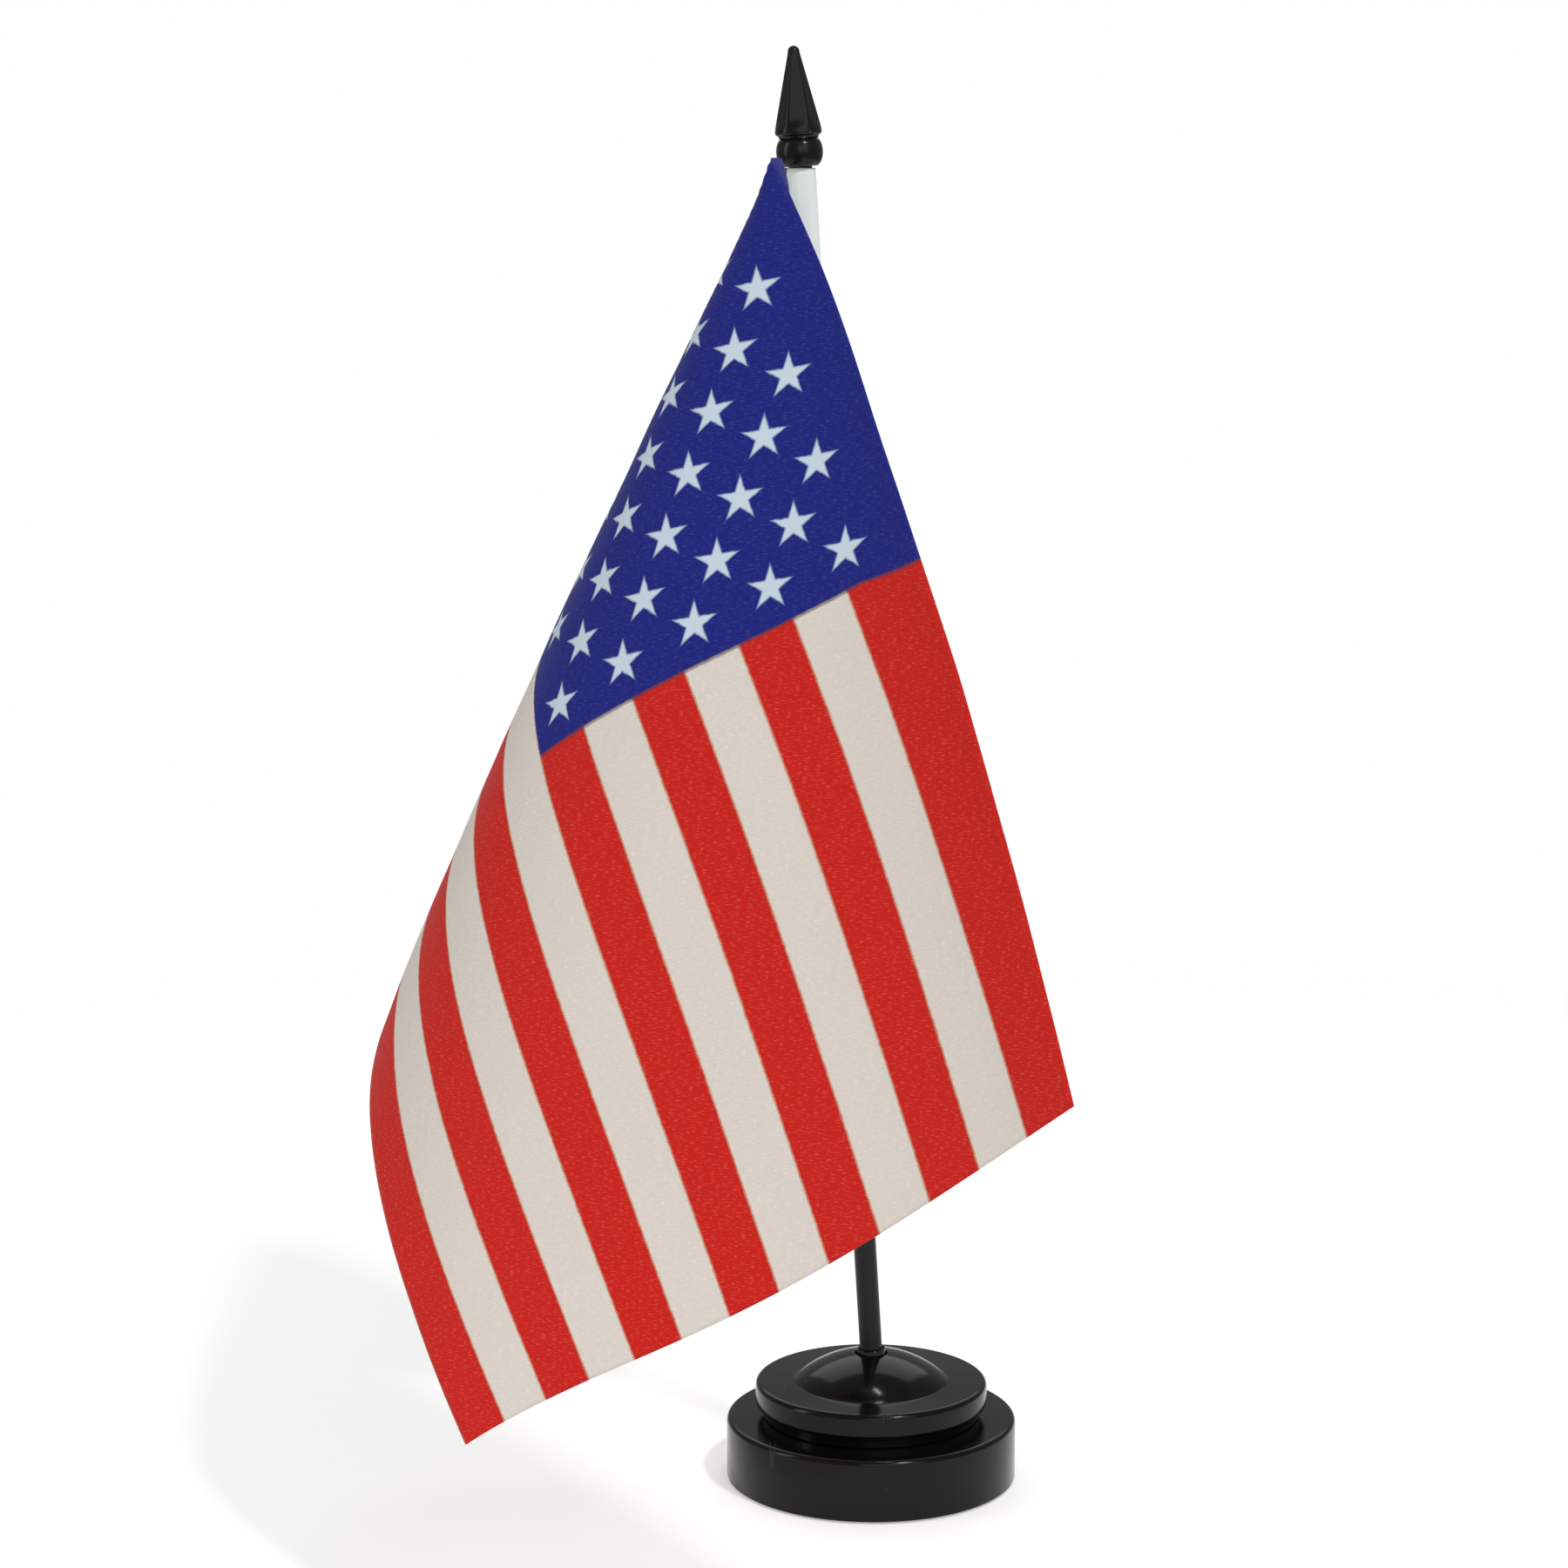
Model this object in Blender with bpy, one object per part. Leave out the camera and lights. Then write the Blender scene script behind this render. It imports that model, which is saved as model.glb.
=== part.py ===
"""Desk flag on a leaning pole, standing in a weighted two-tier round base.

Units are metres, +Z is up, and the origin is on the table under the middle of the base.
The front of the flag faces -Y, and the pole leans towards -X. Pieces on the pole are modelled
along their own +Z and then stood on the leaning axis, whose zero is at the top of the dome.
"""

import math

import bmesh
import bpy
import numpy as np
from mathutils import Matrix, Vector

MM = 0.001
SEAT_GAP = 0.3 * MM  # between pieces that touch

# Lower tier
FOOT_RADIUS = 28.5 * MM
FOOT_TOP_Z = 12.5 * MM
FOOT_RIM_Z = 0.4 * MM
FOOT_WALL = 2.2 * MM
FOOT_ROOF = 2.2 * MM
EDGE_ROUND = 1.0 * MM

# Upper tier, its dome, and the spigot that drops into the lower tier's roof
CAP_RADIUS = 22.8 * MM
CAP_THICKNESS = 4.9 * MM
UNDER_ROUND = 0.8 * MM
CAP_NECK_RADIUS = 21.2 * MM
CAP_NECK_HEIGHT = 2.0 * MM
DOME_RADIUS = 15.2 * MM
DOME_RISE = 5.6 * MM
DOME_SKIN = 2.2 * MM
SPIGOT_RADIUS = 12.7 * MM
SPIGOT_WALL = 1.8 * MM
SPIGOT_DEPTH = 2.4 * MM

# Weight and underside
PAD_THICKNESS = 1.0 * MM
COVER_THICKNESS = 1.5 * MM
BALLAST_THICKNESS = 6.3 * MM
BALLAST_BORE_RADIUS = 6.2 * MM

# Pole and its socket, a tube whose collar shows at the top of the dome
POLE_RADIUS = 2.2 * MM
POLE_CHAMFER = 0.3 * MM
POLE_LEAN_DEG = 3.5
POLE_FREE_LENGTH = 231.3 * MM  # from the dome to the finial
SOCKET_CLEARANCE = 0.2 * MM
SOCKET_COLLAR_WALL = 0.45 * MM
SOCKET_COLLAR_HEIGHT = 0.8 * MM
SOCKET_TUBE_WALL = 1.6 * MM
SOCKET_DEPTH = 14.5 * MM
SOCKET_FLOOR = 1.4 * MM
TUBE_HEADROOM = 1.2 * MM  # below the dome, so that the leaning tube stays clear of it

# Finial, a faceted spear on a bead
FINIAL_BORE_CLEARANCE = 0.2 * MM
FINIAL_BORE_DEPTH = 8.0 * MM
BEAD_RADIUS = 4.4 * MM
BEAD_HEIGHT = 5.4 * MM
BEAD_BULGE = 1.5 * MM
NECK_RADIUS = 3.7 * MM
GROOVE_WIDTH = 0.1 * MM  # between the bead and the spear
SPEAR_RADIUS = 4.4 * MM
SPEAR_FLARE = 0.7 * MM  # the spear's lower end widens over twice this height
SPEAR_HEIGHT = 16.8 * MM
SPEAR_TIP_RADIUS = 1.1 * MM
SPEAR_FACETS = 6
SPEAR_FLAT_SHARE = 0.9  # of the round radius, at the middle of a flat

# Flag, cut wider at the hoist than at the fly, and the sleeve sewn along its hoist
FLAG_HOIST = 140.0 * MM
FLAG_FLY = 210.0 * MM
TOP_MARGIN = 6.5 * MM  # extra cloth above the hoist's end of the top edge
CLOTH_THICKNESS = 0.8 * MM
SLEEVE_CLEARANCE = 0.25 * MM
SLEEVE_WALL = 0.4 * MM
FLAG_DROP = 4.5 * MM  # the flag's hoist starts this far below the sleeve's top
SLEEVE_LENGTH = FLAG_DROP + TOP_MARGIN + FLAG_HOIST

ROUND_SIDES = 64
SMALL_SIDES = 32
FINIAL_SIDES = 48
ARC_STEPS = 5

# Worked out from the sizes above
COVER_Z = PAD_THICKNESS + SEAT_GAP
BALLAST_Z = COVER_Z + COVER_THICKNESS + SEAT_GAP
FOOT_INNER_RADIUS = FOOT_RADIUS - FOOT_WALL
FOOT_HOLE_RADIUS = SPIGOT_RADIUS + SEAT_GAP
CAP_Z = FOOT_TOP_Z + SEAT_GAP
DISC_Z = CAP_Z + CAP_NECK_HEIGHT
DISC_TOP_Z = DISC_Z + CAP_THICKNESS
DOME_TOP_Z = DISC_TOP_Z + DOME_RISE
DOME_SPHERE = (DOME_RADIUS**2 + DOME_RISE**2) / (2 * DOME_RISE)
SOCKET_BORE_RADIUS = POLE_RADIUS + SOCKET_CLEARANCE
COLLAR_RADIUS = SOCKET_BORE_RADIUS + SOCKET_COLLAR_WALL
DOME_HOLE_RADIUS = COLLAR_RADIUS + 1.3 * SEAT_GAP  # the collar leans in a hole that is upright
TUBE_TOP = -DOME_SKIN - TUBE_HEADROOM
SLEEVE_BORE_RADIUS = POLE_RADIUS + SLEEVE_CLEARANCE
SLEEVE_RADIUS = SLEEVE_BORE_RADIUS + SLEEVE_WALL
LEAN = Matrix.Translation((0, 0, DOME_TOP_Z)) @ Matrix.Rotation(-math.radians(POLE_LEAN_DEG), 4, "Y")

# Drape of the flag: the cloth hangs as a cone whose point is just above the flag's top edge
DRAPE_POINT_ALONG = 16.6 * MM        # from the hoist
DRAPE_POINT_ABOVE = 8.6 * MM         # above the fly's end of the top edge
DRAPE_OFFSET = Vector((-6.8 * MM, -20.2 * MM, 4.0 * MM))  # of that point, from the finial's lower end
DRAPE_START_SIDE = 0.357             # radians: where the top edge points, right of straight down
DRAPE_START_FRONT = 0.599            # radians: and towards the front
DRAPE_START_TURN = 0.727             # radians: the cloth's tilt there
DRAPE_CURL = -2.06                   # curl per radian of cloth, all over
DRAPE_FOLD_CURL = 5.91               # and the extra at the fold
DRAPE_FOLD_AT = 0.99                 # radians from the top edge
DRAPE_FOLD_WIDTH = 0.519             # radians, from the fold's middle to where it fades
DRAPE_STEPS = 180
# The soft cloth's own sag, away from that cone
TOP_EDGE_BOW = 4.3 * MM              # the top edge bows out to the right
LOWER_CORNER_SWING = 14.0 * MM       # the fly's lower corner swings to the right
FLY_EDGE_WAVE = 1.8 * MM             # the ends of the fly edge lift, and its middle drops
PANEL_TWIST = 1.0 * MM               # the lower half of the panel lifts, and the upper half drops
HOIST_SIDE = Vector((-1.0, 0, 0))    # side of the sleeve that the flag is sewn to
HOIST_PULL_WIDTH = 17.0 * MM         # cloth next to the sleeve that is drawn in to it, at its top
HOIST_PULL_GROWTH = 0.64             # and how much wider that strip gets on the way down
CLOTH_ALONG = 44
CLOTH_DOWN = 24


def material(name, colour, roughness, metallic=0.0):
    made = bpy.data.materials.new(name)
    made.use_nodes = True
    shader = made.node_tree.nodes["Principled BSDF"]
    shader.inputs["Base Color"].default_value = (*colour, 1.0)
    shader.inputs["Roughness"].default_value = roughness
    shader.inputs["Metallic"].default_value = metallic
    return made


def add_object(name, mesh_builder, finish):
    """Link one object whose mesh is the closed body in mesh_builder."""
    bmesh.ops.remove_doubles(mesh_builder, verts=mesh_builder.verts, dist=1e-6)
    bmesh.ops.recalc_face_normals(mesh_builder, faces=mesh_builder.faces)
    mesh = bpy.data.meshes.new(name)
    mesh_builder.to_mesh(mesh)
    mesh_builder.free()
    mesh.shade_smooth()
    mesh.set_sharp_from_angle(angle=math.radians(35))
    mesh.materials.append(finish)
    made = bpy.data.objects.new(name, mesh)
    bpy.context.scene.collection.objects.link(made)
    return made


def turned(outline, sides=ROUND_SIDES):
    """A closed body of revolution about +Z. The outline is (radius, height) pairs."""
    body = bmesh.new()
    ring = [body.verts.new((radius, 0, height)) for radius, height in outline]
    closed = min(radius for radius, _ in outline) > 1e-7
    edges = [body.edges.new(pair) for pair in zip(ring, ring[1:])]
    if closed:
        edges.append(body.edges.new((ring[-1], ring[0])))
    bmesh.ops.spin(
        body, geom=ring + edges, cent=(0, 0, 0), axis=(0, 0, 1),
        angle=math.tau, steps=sides, use_merge=True, use_duplicate=False,
    )
    bmesh.ops.remove_doubles(body, verts=body.verts, dist=1e-7)
    return body


def corner(centre_radius, centre_height, size, start_deg, steps=ARC_STEPS):
    """Points of a quarter-round corner, from start_deg, turning clockwise in (radius, height)."""
    points = []
    for step in range(steps + 1):
        angle = math.radians(start_deg - 90.0 * step / steps)
        points.append((centre_radius + size * math.cos(angle), centre_height + size * math.sin(angle)))
    return points


def dome_height(radius, skin=0.0):
    """Height of the dome's surface at a radius, or of its inner surface, a skin below."""
    centre = DISC_TOP_Z + DOME_RISE - DOME_SPHERE
    return centre + math.sqrt((DOME_SPHERE - skin) ** 2 - radius**2)


def foot_outline():
    top = FOOT_TOP_Z
    return [
        (FOOT_HOLE_RADIUS, top),
        *corner(FOOT_RADIUS - EDGE_ROUND, top - EDGE_ROUND, EDGE_ROUND, 90),
        (FOOT_RADIUS, FOOT_RIM_Z),
        (FOOT_INNER_RADIUS, FOOT_RIM_Z),
        (FOOT_INNER_RADIUS, top - FOOT_ROOF),
        (FOOT_HOLE_RADIUS, top - FOOT_ROOF),
    ]


def cap_outline():
    spigot_bore = SPIGOT_RADIUS - SPIGOT_WALL
    dome = [
        (radius, dome_height(radius))
        for radius in np.linspace(DOME_HOLE_RADIUS, DOME_RADIUS, 10)
    ]
    ceiling = [
        (radius, dome_height(radius, DOME_SKIN))
        for radius in np.linspace(spigot_bore, DOME_HOLE_RADIUS, 6)
    ]
    return [
        *dome,
        *corner(CAP_RADIUS - EDGE_ROUND, DISC_TOP_Z - EDGE_ROUND, EDGE_ROUND, 90),
        *corner(CAP_RADIUS - UNDER_ROUND, DISC_Z + UNDER_ROUND, UNDER_ROUND, 0),
        (CAP_NECK_RADIUS, DISC_Z),
        (CAP_NECK_RADIUS, CAP_Z),
        (SPIGOT_RADIUS, CAP_Z),
        (SPIGOT_RADIUS, CAP_Z - SPIGOT_DEPTH),
        (spigot_bore, CAP_Z - SPIGOT_DEPTH),
        *ceiling,
    ]


def socket_outline():
    """Closed at the bottom; zero is the top of the dome, on the pole's axis."""
    tube = SOCKET_BORE_RADIUS + SOCKET_TUBE_WALL
    bead = SOCKET_COLLAR_WALL / 2
    return [
        (0, -SOCKET_DEPTH),
        (SOCKET_BORE_RADIUS, -SOCKET_DEPTH),
        (SOCKET_BORE_RADIUS, SOCKET_COLLAR_HEIGHT),
        (COLLAR_RADIUS - bead, SOCKET_COLLAR_HEIGHT),
        (COLLAR_RADIUS, SOCKET_COLLAR_HEIGHT - bead),
        (COLLAR_RADIUS, TUBE_TOP),
        (tube, TUBE_TOP),
        (tube, -SOCKET_DEPTH - SOCKET_FLOOR),
        (0, -SOCKET_DEPTH - SOCKET_FLOOR),
    ]


def finial_bottom_outline():
    """The bead and its neck, about the pole's axis. Zero is the finial's lower end."""
    bore = POLE_RADIUS + FINIAL_BORE_CLEARANCE
    middle = BEAD_HEIGHT / 2
    bulge = [
        (
            BEAD_RADIUS - BEAD_BULGE + BEAD_BULGE * math.sin(angle),
            middle - middle * math.cos(angle),
        )
        for angle in np.linspace(0.12 * math.pi, 0.86 * math.pi, 9)
    ]
    return bore, bulge


def base_pieces(plastic, steel, felt):
    add_object("base_foot", turned(foot_outline()), plastic)
    add_object("base_cap", turned(cap_outline()), plastic)
    ballast_radius = FOOT_INNER_RADIUS - 2 * SEAT_GAP
    ballast_top = BALLAST_Z + BALLAST_THICKNESS
    add_object("ballast_ring", turned([
        (BALLAST_BORE_RADIUS, BALLAST_Z),
        (BALLAST_BORE_RADIUS, ballast_top),
        (ballast_radius, ballast_top),
        (ballast_radius, BALLAST_Z),
    ]), steel)
    cover_radius = FOOT_INNER_RADIUS - SEAT_GAP
    add_object("bottom_cover", turned([
        (0, COVER_Z + COVER_THICKNESS),
        (cover_radius, COVER_Z + COVER_THICKNESS),
        (cover_radius, COVER_Z),
        (0, COVER_Z),
    ]), plastic)
    pad_radius = FOOT_INNER_RADIUS - 2 * SEAT_GAP
    add_object("foot_pad", turned([
        (0, PAD_THICKNESS),
        (pad_radius, PAD_THICKNESS),
        (pad_radius, 0),
        (0, 0),
    ]), felt)


def on_the_pole(made, along=0.0):
    made.matrix_world = LEAN @ Matrix.Translation((0, 0, along))
    return made


def pole_pieces(plastic, rod_plastic, cloth):
    on_the_pole(add_object("pole_socket", turned(socket_outline(), SMALL_SIDES), plastic))
    bottom = -SOCKET_DEPTH + SEAT_GAP
    top = POLE_FREE_LENGTH + FINIAL_BORE_DEPTH - SEAT_GAP
    on_the_pole(add_object("pole", turned([
        (0, top),
        (POLE_RADIUS - POLE_CHAMFER, top),
        (POLE_RADIUS, top - POLE_CHAMFER),
        (POLE_RADIUS, bottom + POLE_CHAMFER),
        (POLE_RADIUS - POLE_CHAMFER, bottom),
        (0, bottom),
    ], SMALL_SIDES), rod_plastic))
    sleeve_top = POLE_FREE_LENGTH - SEAT_GAP
    on_the_pole(add_object("flag_sleeve", turned([
        (SLEEVE_BORE_RADIUS, sleeve_top),
        (SLEEVE_RADIUS, sleeve_top),
        (SLEEVE_RADIUS, sleeve_top - SLEEVE_LENGTH),
        (SLEEVE_BORE_RADIUS, sleeve_top - SLEEVE_LENGTH),
    ], SMALL_SIDES), cloth))


def finial(plastic):
    """Bead, neck and spear in one moulding. The spear's flats are cut by planes."""
    bore, bulge = finial_bottom_outline()
    spear_z = BEAD_HEIGHT + GROOVE_WIDTH
    tip_z = spear_z + SPEAR_HEIGHT
    tip = [
        (
            SPEAR_TIP_RADIUS * math.cos(angle),
            tip_z - SPEAR_TIP_RADIUS + SPEAR_TIP_RADIUS * math.sin(angle),
        )
        for angle in np.linspace(0.1, math.pi / 2, 5)
    ]
    tip[-1] = (0, tip[-1][1])
    outline = [
        (0, FINIAL_BORE_DEPTH),
        (bore, FINIAL_BORE_DEPTH),
        (bore, 0),
        (bulge[0][0], 0),
        *bulge,
        (NECK_RADIUS, BEAD_HEIGHT),
        (SPEAR_RADIUS - SPEAR_FLARE / 3, spear_z + 0.6 * SPEAR_FLARE),
        (SPEAR_RADIUS, spear_z + 1.5 * SPEAR_FLARE),
        (SPEAR_RADIUS - SPEAR_FLARE / 7, spear_z + 2 * SPEAR_FLARE),
        *tip,
    ]
    body = turned(outline, FINIAL_SIDES)
    press_flats(body, spear_z + 1.5 * SPEAR_FLARE)
    return on_the_pole(add_object("finial", body, plastic), POLE_FREE_LENGTH)


def press_flats(body, lowest):
    """Draw the round spear in to flats, one of which faces the front. The bore stays round."""
    sector = math.tau / SPEAR_FACETS
    for vertex in body.verts:
        radius = vertex.co.xy.length
        in_bore = abs(vertex.co.z - FINIAL_BORE_DEPTH) < 0.01 * MM
        if in_bore or vertex.co.z < lowest or radius < SPEAR_TIP_RADIUS / 2:
            continue
        angle = math.atan2(vertex.co.y, vertex.co.x) + math.pi / 2
        off_middle = (angle + sector / 2) % sector - sector / 2
        flat = radius * SPEAR_FLAT_SHARE / math.cos(off_middle)
        vertex.co.xy *= min(flat / radius, 1.0)


def pole_point(along):
    """A point on the pole's axis, at a distance above the top of the dome."""
    return LEAN @ Vector((0, 0, along))


def drape_directions():
    """Unit directions from the drape's point, by angle from the flag's top edge."""
    side, front = DRAPE_START_SIDE, DRAPE_START_FRONT
    ray = Vector((math.sin(side) * math.cos(front), -math.sin(front), -math.cos(side) * math.cos(front)))
    left = Vector((-math.cos(side), 0, -math.sin(side)))
    along = left * math.cos(DRAPE_START_TURN) + ray.cross(left) * math.sin(DRAPE_START_TURN)
    along = (along - ray * along.dot(ray)).normalized()
    step = math.pi / DRAPE_STEPS
    rays = [ray.copy()]
    for index in range(DRAPE_STEPS):
        past_fold = ((index + 0.5) * step - DRAPE_FOLD_AT) / DRAPE_FOLD_WIDTH
        curl = DRAPE_CURL + DRAPE_FOLD_CURL * math.exp(-(past_fold**2))
        spin = ray.cross(along) + curl * ray
        turn = Matrix.Rotation(step * spin.length, 3, spin.normalized())
        ray, along = turn @ ray, turn @ along
        rays.append(ray.copy())
    return rays


def drape_point(rays, along, down):
    """Where the drape puts a point of the flat flag, along the fly and down the hoist."""
    across, below = along - DRAPE_POINT_ALONG, down + DRAPE_POINT_ABOVE
    angle = math.atan2(below, across) * DRAPE_STEPS / math.pi
    index = min(int(angle), DRAPE_STEPS - 1)
    ray = rays[index].lerp(rays[index + 1], angle - index)
    point = pole_point(POLE_FREE_LENGTH) + DRAPE_OFFSET
    return point + ray * math.hypot(across, below) + sag(along, down)


def sag(along, down):
    """How far the soft cloth stands away from the drape's cone."""
    out = along / FLAG_FLY
    low = min(max(down / FLAG_HOIST, 0.0), 1.0)
    belly = math.sin(math.pi * out)
    side = TOP_EDGE_BOW * belly * (1 - low)
    side += LOWER_CORNER_SWING * out**2 * low**2
    lift = FLY_EDGE_WAVE * out**3 * math.cos(math.tau * low)
    lift += PANEL_TWIST * 4 * out * (1 - out) * (low - 0.4)
    return Vector((side, 0, lift))


def cloth_point(rays, along, down):
    """As the drape, but with the hoist drawn in to the sleeve."""
    hoist = pole_point(POLE_FREE_LENGTH - SEAT_GAP - FLAG_DROP - TOP_MARGIN - down)
    hoist += HOIST_SIDE * (SLEEVE_RADIUS + SEAT_GAP + CLOTH_THICKNESS / 2)
    width = HOIST_PULL_WIDTH + HOIST_PULL_GROWTH * (down + TOP_MARGIN)
    pull = max(0.0, 1.0 - along / width)
    pull = pull * pull * (3 - 2 * pull)
    return drape_point(rays, along, down) + pull * (hoist - drape_point(rays, 0.0, down))


def top_edge(along):
    """The cut of the top edge: how far down the artwork it is, less than zero in the margin."""
    return -TOP_MARGIN * (1 - (along / FLAG_FLY) ** 2)


def flag(cloth):
    rays = drape_directions()
    body = bmesh.new()
    grid = []
    for row in range(CLOTH_DOWN + 1):
        line = []
        for column in range(CLOTH_ALONG + 1):
            along = FLAG_FLY * column / CLOTH_ALONG
            top = top_edge(along)
            down = top + (FLAG_HOIST - top) * row / CLOTH_DOWN
            line.append(body.verts.new(cloth_point(rays, along, down)))
        grid.append(line)
    for upper, lower in zip(grid, grid[1:]):
        for column in range(CLOTH_ALONG):
            body.faces.new((upper[column], upper[column + 1], lower[column + 1], lower[column]))
    made = add_object("flag", body, cloth)
    thick = made.modifiers.new("Solidify", "SOLIDIFY")
    thick.thickness = CLOTH_THICKNESS
    thick.offset = 0.0
    return made


def main():
    for old in list(bpy.data.objects):
        bpy.data.objects.remove(old)
    plastic = material("gloss_black_plastic", (0.012, 0.012, 0.013), 0.12)
    rod_plastic = material("satin_black_plastic", (0.02, 0.02, 0.02), 0.4)
    steel = material("plain_steel", (0.5, 0.5, 0.5), 0.4, 1.0)
    felt = material("black_felt", (0.03, 0.03, 0.03), 0.95)
    printed = material("printed_cloth", (0.7, 0.05, 0.03), 0.7)
    white = material("white_cloth", (0.85, 0.88, 0.86), 0.7)
    base_pieces(plastic, steel, felt)
    pole_pieces(plastic, rod_plastic, white)
    finial(plastic)
    flag(printed)


main()
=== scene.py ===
"""Desk flag on a leaning pole in a glossy two-tier base: the finished pieces, their finishes and the studio.

Metres, +Z up. The front of the flag faces -Y. The pole's axis starts at the top of the dome.
"""

import math

import bmesh
import bpy
from mathutils import Matrix, Vector, noise


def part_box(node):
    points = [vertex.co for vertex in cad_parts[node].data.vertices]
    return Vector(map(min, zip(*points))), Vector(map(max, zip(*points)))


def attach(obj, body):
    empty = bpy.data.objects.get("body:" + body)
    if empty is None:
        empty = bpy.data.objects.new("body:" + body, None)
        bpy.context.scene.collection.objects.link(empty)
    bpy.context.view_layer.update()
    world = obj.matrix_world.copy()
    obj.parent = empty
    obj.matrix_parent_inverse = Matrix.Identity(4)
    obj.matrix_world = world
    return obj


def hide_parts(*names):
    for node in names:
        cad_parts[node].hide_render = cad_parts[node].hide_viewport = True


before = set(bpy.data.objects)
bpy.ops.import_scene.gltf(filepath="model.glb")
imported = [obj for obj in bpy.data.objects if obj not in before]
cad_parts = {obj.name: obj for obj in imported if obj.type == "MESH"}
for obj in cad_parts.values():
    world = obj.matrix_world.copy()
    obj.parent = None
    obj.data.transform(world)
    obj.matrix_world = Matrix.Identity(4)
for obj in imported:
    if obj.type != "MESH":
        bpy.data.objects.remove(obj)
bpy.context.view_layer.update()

MM = 0.001

# ---------------------------------------------------------------- sizes of the stand
FOOT_LOW, FOOT_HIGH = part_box("base_foot")
_, CAP_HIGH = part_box("base_cap")
FOOT_RADIUS = FOOT_HIGH.x
FOOT_TOP_Z = FOOT_HIGH.z
FOOT_WALL = 2.2 * MM
FOOT_HOLE_RADIUS = 13.0 * MM
EDGE_ROUND = 1.0 * MM
CAP_RADIUS = CAP_HIGH.x
SEAT_GAP = 0.3 * MM
CAP_Z = FOOT_TOP_Z + SEAT_GAP
CAP_NECK_RADIUS = 21.2 * MM
CAP_NECK_HEIGHT = 2.0 * MM
CAP_THICKNESS = 4.9 * MM
DOME_RADIUS = 15.2 * MM
DOME_RISE = 5.6 * MM
DOME_SKIN = 2.2 * MM
SPIGOT_RADIUS = 12.7 * MM
SPIGOT_WALL = 1.8 * MM
SPIGOT_DEPTH = 2.4 * MM
DISC_Z = CAP_Z + CAP_NECK_HEIGHT
DISC_TOP_Z = DISC_Z + CAP_THICKNESS
DOME_TOP_Z = DISC_TOP_Z + DOME_RISE
DOME_SPHERE = (DOME_RADIUS**2 + DOME_RISE**2) / (2 * DOME_RISE)

POLE_RADIUS = 2.2 * MM
POLE_LEAN = math.radians(3.5)
POLE_FREE_LENGTH = 231.3 * MM
SOCKET_DEPTH = 14.5 * MM
SOCKET_FLOOR = 1.4 * MM
SOCKET_BORE_RADIUS = 2.4 * MM
COLLAR_RADIUS = 2.85 * MM
COLLAR_HEIGHT = 0.8 * MM
TUBE_RADIUS = 4.0 * MM
TUBE_TOP = -3.4 * MM
LEAN = Matrix.Translation((0, 0, DOME_TOP_Z)) @ Matrix.Rotation(-POLE_LEAN, 4, "Y")

BEAD_RADIUS = 4.4 * MM
BEAD_HEIGHT = 5.4 * MM
BEAD_BULGE = 1.5 * MM
NECK_RADIUS = 3.7 * MM
SPEAR_RADIUS = 4.4 * MM
SPEAR_HEIGHT = 16.8 * MM
SPEAR_TIP_RADIUS = 1.1 * MM
SPEAR_FLAT_SHARE = 0.9
SPEAR_FACETS = 6
FINIAL_BORE_RADIUS = 2.4 * MM
FINIAL_BORE_DEPTH = 8.0 * MM

# ---------------------------------------------------------------- the cloth
FLAG_HOIST = 140.0 * MM
FLAG_FLY = 210.0 * MM
TOP_MARGIN = 6.5 * MM
CLOTH_THICKNESS = 0.25 * MM
STRIPES = 13
CANTON_STRIPES = 7
CANTON_LENGTH = 101.4 * MM
CANTON_DEPTH = FLAG_HOIST * CANTON_STRIPES / STRIPES
PRINT_EDGE = 0.4 * MM  # width over which one ink turns into the next
CANTON_SKEW = 0.22  # how much the printed canton widens towards the cut top edge
CANTON_SKEW_DEPTH = 8.0 * MM
STAR_RADIUS = 4.15 * MM
STAR_EDGE_ANGLE = math.radians(72)
STAR_INSET = 5.6 * MM
STAR_PITCH = 9.07 * MM
STAR_ROW = 7.51 * MM
STAR_ROW_LIFT = 3.4 * MM
STAR_ROW_SKEW = 0.38 * MM
SLEEVE_RADIUS = 2.6 * MM
SLEEVE_WALL = 0.15 * MM
SLEEVE_TOP = POLE_FREE_LENGTH - SEAT_GAP
SLEEVE_STRIP = 24.0 * MM
FLAG_DROP = 4.5 * MM
SLEEVE_LENGTH = FLAG_DROP + TOP_MARGIN + FLAG_HOIST
SEAM_WIDTH = 4.2 * MM
SEAM_HALF = 0.42 * MM
STITCH_PITCH = 2.8 * MM
STITCH_LENGTH = 2.1 * MM

# The cloth hangs as a bent cone whose point is just above the flag's top edge. Angles are in radians.
DRAPE_POINT_ALONG = 16.6 * MM
DRAPE_POINT_ABOVE = 8.6 * MM
DRAPE_POINT = LEAN @ Vector((0, 0, POLE_FREE_LENGTH)) + Vector((-6.8 * MM, -20.2 * MM, 4.0 * MM))
DRAPE_START_SIDE = 0.357  # direction along the top edge, to the right of straight down
DRAPE_START_FRONT = 0.599  # and towards the front
DRAPE_START_TURN = 0.727  # which way the cloth goes on from there
DRAPE_CURL = -2.06  # curl per radian of cloth, all over
DRAPE_FOLD_CURL = 5.91  # and the extra at the fold
DRAPE_FOLD_AT = 0.99
DRAPE_FOLD_WIDTH = 0.519
DRAPE_STEPS = 360
TOP_EDGE_BOW = 4.3 * MM
LOWER_CORNER_SWING = 14.0 * MM
FLY_EDGE_WAVE = 1.8 * MM
PANEL_TWIST = 1.0 * MM
HOIST_SIDE = Vector((-1.0, 0, 0))
HOIST_OFFSET = 3.55 * MM
HOIST_PULL_WIDTH = 17.0 * MM
HOIST_PULL_GROWTH = 0.64
HOIST_GATHER = 5.5 * MM
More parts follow.
